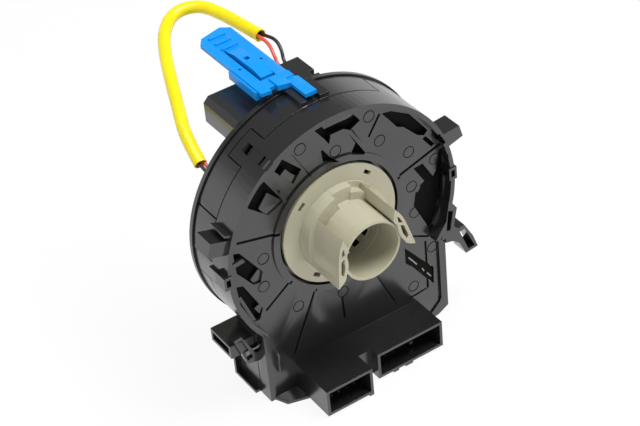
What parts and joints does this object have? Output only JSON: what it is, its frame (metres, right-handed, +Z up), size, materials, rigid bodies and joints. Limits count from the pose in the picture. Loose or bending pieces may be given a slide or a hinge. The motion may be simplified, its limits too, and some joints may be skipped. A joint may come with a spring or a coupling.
{
  "type": "steering clock spring",
  "caption": "Round steering column contact drum with a flanged hub sleeve, two bottom plug sockets, a sleeved lead and a pull-off transport lock.",
  "frame": {"origin": "on the steering axis, in the front face of the hub sleeve's flange", "axes": "+Z up, away from the plug sockets; -Y along the steering axis towards the column, where the hub sleeve points; +X to the right seen from the column side"},
  "size_m": [0.1264, 0.1307, 0.1348],
  "materials": {
    "black_gloss": "glossy moulded black",
    "black_satin": "satin moulded black",
    "cream": "satin moulded cream",
    "blue": "satin blue",
    "yellow": "soft vinyl sleeve",
    "red": "soft vinyl",
    "wire_black": "soft vinyl",
    "tin": "tin plated",
    "film": "polyester film",
    "slip_film": "black sliding film"
  },
  "bodies": {
    "stator": {"front_housing": "black_gloss", "rear_housing": "black_gloss", "terminal_cover": "black_satin", "narrow_socket_pins": "tin", "wide_socket_pins": "tin", "wide_socket_blade": "tin", "front_slip_sheet": "slip_film", "rear_slip_sheet": "slip_film", "flat_cable_signal": "film", "flat_cable_power": "film", "stator_joint_block": "black_satin"},
    "rotor": {"hub_sleeve": "cream", "rotor_body": "black_gloss", "rotor_joint_block": "black_satin", "box_cover": "black_satin", "box_terminals": "tin", "yellow_sleeve": "yellow", "red_wire": "red", "black_wire": "wire_black"},
    "lock": {"lock_clip": "blue"}
  },
  "joints": [
    {"name": "rotor_spin", "type": "hinge", "parent": "stator", "child": "rotor", "pos_m": [0, 0, 0], "axis": [0, -1, 0], "range_deg": [-900, 900]},
    {"name": "lock_pull", "type": "slide", "parent": "stator", "child": "lock", "axis": [0, 1, 0], "range_m": [0, 0.065]}
  ]
}
